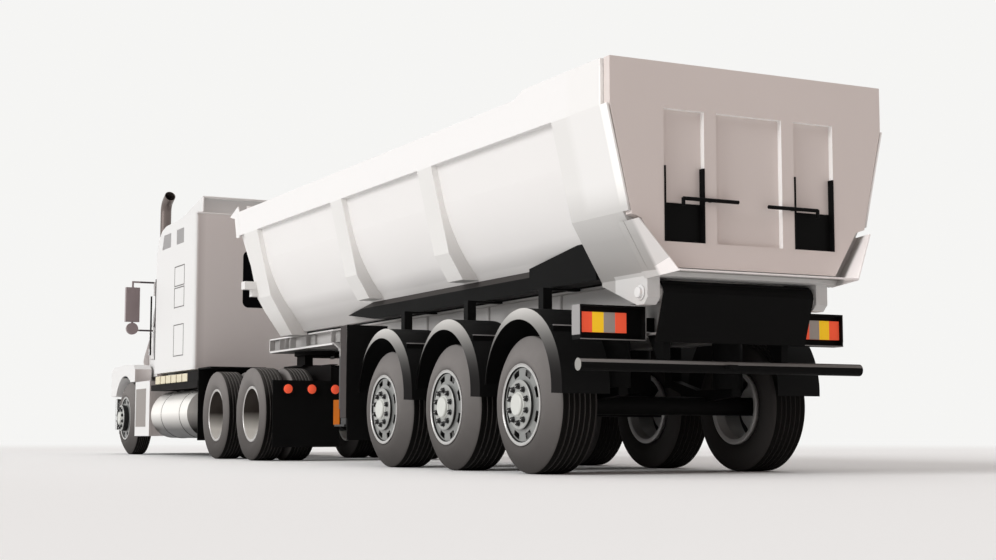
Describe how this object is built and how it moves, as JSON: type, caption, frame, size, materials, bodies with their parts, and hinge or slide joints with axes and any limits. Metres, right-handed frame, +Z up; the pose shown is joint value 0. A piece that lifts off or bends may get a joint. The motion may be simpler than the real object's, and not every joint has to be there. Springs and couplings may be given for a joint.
{
  "type": "tipping truck",
  "caption": "Articulated tipping truck: sleeper tractor with a hooded cab, and a half-pipe tipping semi-trailer with a top-hung tailgate.",
  "frame": {"origin": "On the ground, midway between the front bumper and the lip of the spout, on the centre plane.", "axes": "+X the vehicle's left side, +Y its rear, +Z up; the vehicle faces -Y."},
  "size_m": [2.73, 15.46, 3.7024],
  "materials": {
    "white_paint": "white gloss paint",
    "black_paint": "black semi-gloss paint",
    "grey_paint": "grey semi-gloss paint",
    "bright_trim": "polished plating",
    "polished_aluminium": "polished",
    "wheel_aluminium": "satin",
    "tinted_glass": "dark tint",
    "red_lens": "clear red and amber lenses",
    "cast_metal": "dark painted castings",
    "dark_trim": "matte",
    "tyre_rubber": "matte rubber",
    "hoist_steel": "ground steel tubes"
  },
  "bodies": {
    "tractor": {"tractor_frame": "black_paint", "front_bumper": "bright_trim", "engine": "cast_metal", "cab_shell": "white_paint", "cab_glass": "tinted_glass", "cab_interior": "dark_trim", "fuel_tanks": "polished_aluminium", "exhaust_stacks": "bright_trim", "side_steps": "white_paint", "mud_flaps": "black_paint", "tractor_axles": "cast_metal"},
    "hood": {"hood": "white_paint", "grille_and_lamps": "bright_trim"},
    "door_left": {"door_left": "white_paint", "door_glass_left": "tinted_glass"},
    "door_right": {"door_right": "white_paint", "door_glass_right": "tinted_glass"},
    "knuckle_left": {"knuckle_left": "cast_metal"},
    "wheel_steer_left": {"tyre_steer_left": "tyre_rubber", "rim_steer_left": "wheel_aluminium"},
    "knuckle_right": {"knuckle_right": "cast_metal"},
    "wheel_steer_right": {"tyre_steer_right": "tyre_rubber", "rim_steer_right": "wheel_aluminium"},
    "wheels_drive_front_left": {"tyres_drive_front_left": "tyre_rubber", "rims_drive_front_left": "wheel_aluminium"},
    "wheels_drive_front_right": {"tyres_drive_front_right": "tyre_rubber", "rims_drive_front_right": "wheel_aluminium"},
    "wheels_drive_rear_left": {"tyres_drive_rear_left": "tyre_rubber", "rims_drive_rear_left": "wheel_aluminium"},
    "wheels_drive_rear_right": {"tyres_drive_rear_right": "tyre_rubber", "rims_drive_rear_right": "wheel_aluminium"},
    "trailer": {"trailer_frame": "grey_paint", "mudguards": "grey_paint", "trailer_axles": "cast_metal", "rear_guard": "black_paint", "lamp_boxes": "black_paint", "rear_lamps": "red_lens"},
    "wheel_trailer_front_left": {"tyre_trailer_front_left": "tyre_rubber", "rim_trailer_front_left": "wheel_aluminium"},
    "wheel_trailer_front_right": {"tyre_trailer_front_right": "tyre_rubber", "rim_trailer_front_right": "wheel_aluminium"},
    "wheel_trailer_middle_left": {"tyre_trailer_middle_left": "tyre_rubber", "rim_trailer_middle_left": "wheel_aluminium"},
    "wheel_trailer_middle_right": {"tyre_trailer_middle_right": "tyre_rubber", "rim_trailer_middle_right": "wheel_aluminium"},
    "wheel_trailer_rear_left": {"tyre_trailer_rear_left": "tyre_rubber", "rim_trailer_rear_left": "wheel_aluminium"},
    "wheel_trailer_rear_right": {"tyre_trailer_rear_right": "tyre_rubber", "rim_trailer_rear_right": "wheel_aluminium"},
    "tipping": {"tipping_body": "white_paint", "body_ribs": "white_paint", "body_subframe": "black_paint"},
    "gate": {"tailgate": "white_paint", "gate_latches": "black_paint"},
    "hoist_1": {"hoist_stage_1": "hoist_steel"},
    "hoist_2": {"hoist_stage_2": "hoist_steel"},
    "hoist_3": {"hoist_stage_3": "hoist_steel"},
    "hoist_4": {"hoist_stage_4": "hoist_steel"},
    "hoist_5": {"hoist_stage_5": "hoist_steel"},
    "hoist_6": {"hoist_stage_6": "hoist_steel"}
  },
  "joints": [
    {"name": "articulation", "type": "hinge", "parent": "tractor", "child": "trailer", "pos_m": [0, -1.03, 1.28], "axis": [0, 0, 1], "range_deg": [-80, 80]},
    {"name": "hood_tilt", "type": "hinge", "parent": "tractor", "child": "hood", "pos_m": [0, -7.64, 0.85], "axis": [1, 0, 0], "range_deg": [0, 60]},
    {"name": "door_left_hinge", "type": "hinge", "parent": "tractor", "child": "door_left", "pos_m": [0.934, -6.056, 1.61], "axis": [0, 0, -1], "range_deg": [0, 70]},
    {"name": "door_right_hinge", "type": "hinge", "parent": "tractor", "child": "door_right", "pos_m": [-0.934, -6.056, 1.61], "axis": [0, 0, 1], "range_deg": [0, 70]},
    {"name": "steering_left", "type": "hinge", "parent": "tractor", "child": "knuckle_left", "pos_m": [0.93, -6.43, 0.53], "axis": [0, 0, 1], "range_deg": [-32, 32]},
    {"name": "wheel_steer_left_spin", "type": "hinge", "parent": "knuckle_left", "child": "wheel_steer_left", "pos_m": [0, -6.43, 0.53], "axis": [1, 0, 0], "continuous": true},
    {"name": "steering_right", "type": "hinge", "parent": "tractor", "child": "knuckle_right", "pos_m": [-0.93, -6.43, 0.53], "axis": [0, 0, 1], "range_deg": [-32, 32]},
    {"name": "wheel_steer_right_spin", "type": "hinge", "parent": "knuckle_right", "child": "wheel_steer_right", "pos_m": [0, -6.43, 0.53], "axis": [1, 0, 0], "continuous": true},
    {"name": "wheels_drive_front_left_spin", "type": "hinge", "parent": "tractor", "child": "wheels_drive_front_left", "pos_m": [0, -1.95, 0.53], "axis": [1, 0, 0], "continuous": true},
    {"name": "wheels_drive_front_right_spin", "type": "hinge", "parent": "tractor", "child": "wheels_drive_front_right", "pos_m": [0, -1.95, 0.53], "axis": [1, 0, 0], "continuous": true},
    {"name": "wheels_drive_rear_left_spin", "type": "hinge", "parent": "tractor", "child": "wheels_drive_rear_left", "pos_m": [0, -0.58, 0.53], "axis": [1, 0, 0], "continuous": true},
    {"name": "wheels_drive_rear_right_spin", "type": "hinge", "parent": "tractor", "child": "wheels_drive_rear_right", "pos_m": [0, -0.58, 0.53], "axis": [1, 0, 0], "continuous": true},
    {"name": "wheel_trailer_front_left_spin", "type": "hinge", "parent": "trailer", "child": "wheel_trailer_front_left", "pos_m": [0, 3.4, 0.53], "axis": [1, 0, 0], "continuous": true},
    {"name": "wheel_trailer_front_right_spin", "type": "hinge", "parent": "trailer", "child": "wheel_trailer_front_right", "pos_m": [0, 3.4, 0.53], "axis": [1, 0, 0], "continuous": true},
    {"name": "wheel_trailer_middle_left_spin", "type": "hinge", "parent": "trailer", "child": "wheel_trailer_middle_left", "pos_m": [0, 4.76, 0.53], "axis": [1, 0, 0], "continuous": true},
    {"name": "wheel_trailer_middle_right_spin", "type": "hinge", "parent": "trailer", "child": "wheel_trailer_middle_right", "pos_m": [0, 4.76, 0.53], "axis": [1, 0, 0], "continuous": true},
    {"name": "wheel_trailer_rear_left_spin", "type": "hinge", "parent": "trailer", "child": "wheel_trailer_rear_left", "pos_m": [0, 6.12, 0.53], "axis": [1, 0, 0], "continuous": true},
    {"name": "wheel_trailer_rear_right_spin", "type": "hinge", "parent": "trailer", "child": "wheel_trailer_rear_right", "pos_m": [0, 6.12, 0.53], "axis": [1, 0, 0], "continuous": true},
    {"name": "tip", "type": "hinge", "parent": "trailer", "child": "tipping", "pos_m": [0, 7.25, 1.32], "axis": [-1, 0, 0], "range_deg": [0, 45]},
    {"name": "tailgate", "type": "hinge", "parent": "tipping", "child": "gate", "pos_m": [0, 6.687, 2.932], "axis": [1, 0, 0], "range_deg": [0, 70]},
    {"name": "hoist_trunnion", "type": "hinge", "parent": "trailer", "child": "hoist_1", "pos_m": [0, -1.28, 1.46], "axis": [-1, 0, 0], "range_deg": [0, 27.2]},
    {"name": "hoist_slide_2", "type": "slide", "parent": "hoist_1", "child": "hoist_2", "axis": [0, 0, 1], "range_m": [0, 1.29]},
    {"name": "hoist_slide_3", "type": "slide", "parent": "hoist_2", "child": "hoist_3", "axis": [0, 0, 1], "range_m": [0, 1.29]},
    {"name": "hoist_slide_4", "type": "slide", "parent": "hoist_3", "child": "hoist_4", "axis": [0, 0, 1], "range_m": [0, 1.29]},
    {"name": "hoist_slide_5", "type": "slide", "parent": "hoist_4", "child": "hoist_5", "axis": [0, 0, 1], "range_m": [0, 1.29]},
    {"name": "hoist_slide_6", "type": "slide", "parent": "hoist_5", "child": "hoist_6", "axis": [0, 0, 1], "range_m": [0, 1.29]}
  ],
  "couplings": [
    {"joint": "steering_right", "follows": "steering_left", "ratio": 1},
    {"joint": "hoist_trunnion", "follows": "tip", "ratio": 0.602},
    {"joint": "hoist_slide_2", "follows": "tip", "m_per_rad": 1.642},
    {"joint": "hoist_slide_3", "follows": "tip", "m_per_rad": 1.642},
    {"joint": "hoist_slide_4", "follows": "tip", "m_per_rad": 1.642},
    {"joint": "hoist_slide_5", "follows": "tip", "m_per_rad": 1.642},
    {"joint": "hoist_slide_6", "follows": "tip", "m_per_rad": 1.642}
  ]
}
